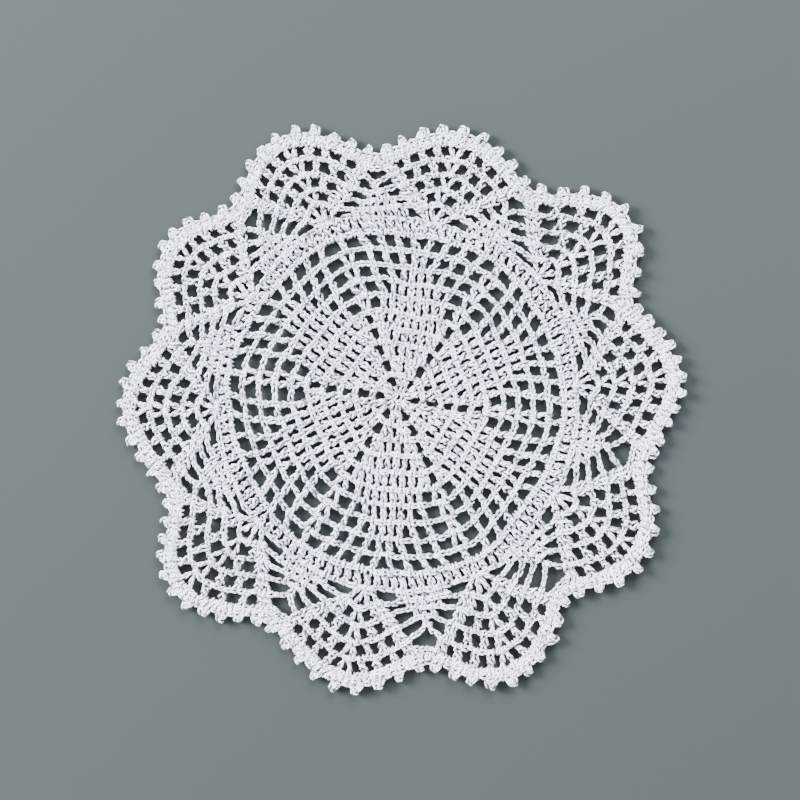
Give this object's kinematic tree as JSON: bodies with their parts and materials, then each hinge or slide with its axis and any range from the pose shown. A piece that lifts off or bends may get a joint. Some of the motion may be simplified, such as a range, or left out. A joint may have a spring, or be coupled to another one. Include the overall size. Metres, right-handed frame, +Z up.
{
  "type": "crochet doily",
  "caption": "round white cotton crochet doily with a close star, open mesh rounds, fan scallops and a picot edge, laid flat under a vase or as a table mat",
  "frame": {"origin": "the middle of the star, on the underside that lies on the table", "axes": "+Z up through the thickness of the doily, which lies flat in the XY plane"},
  "size_m": [0.304, 0.3034, 0.0024],
  "materials": {
    "white cotton": "matte crocheted cotton yarn"
  },
  "bodies": {
    "root": {"doily": "white cotton"}
  },
  "joints": []
}
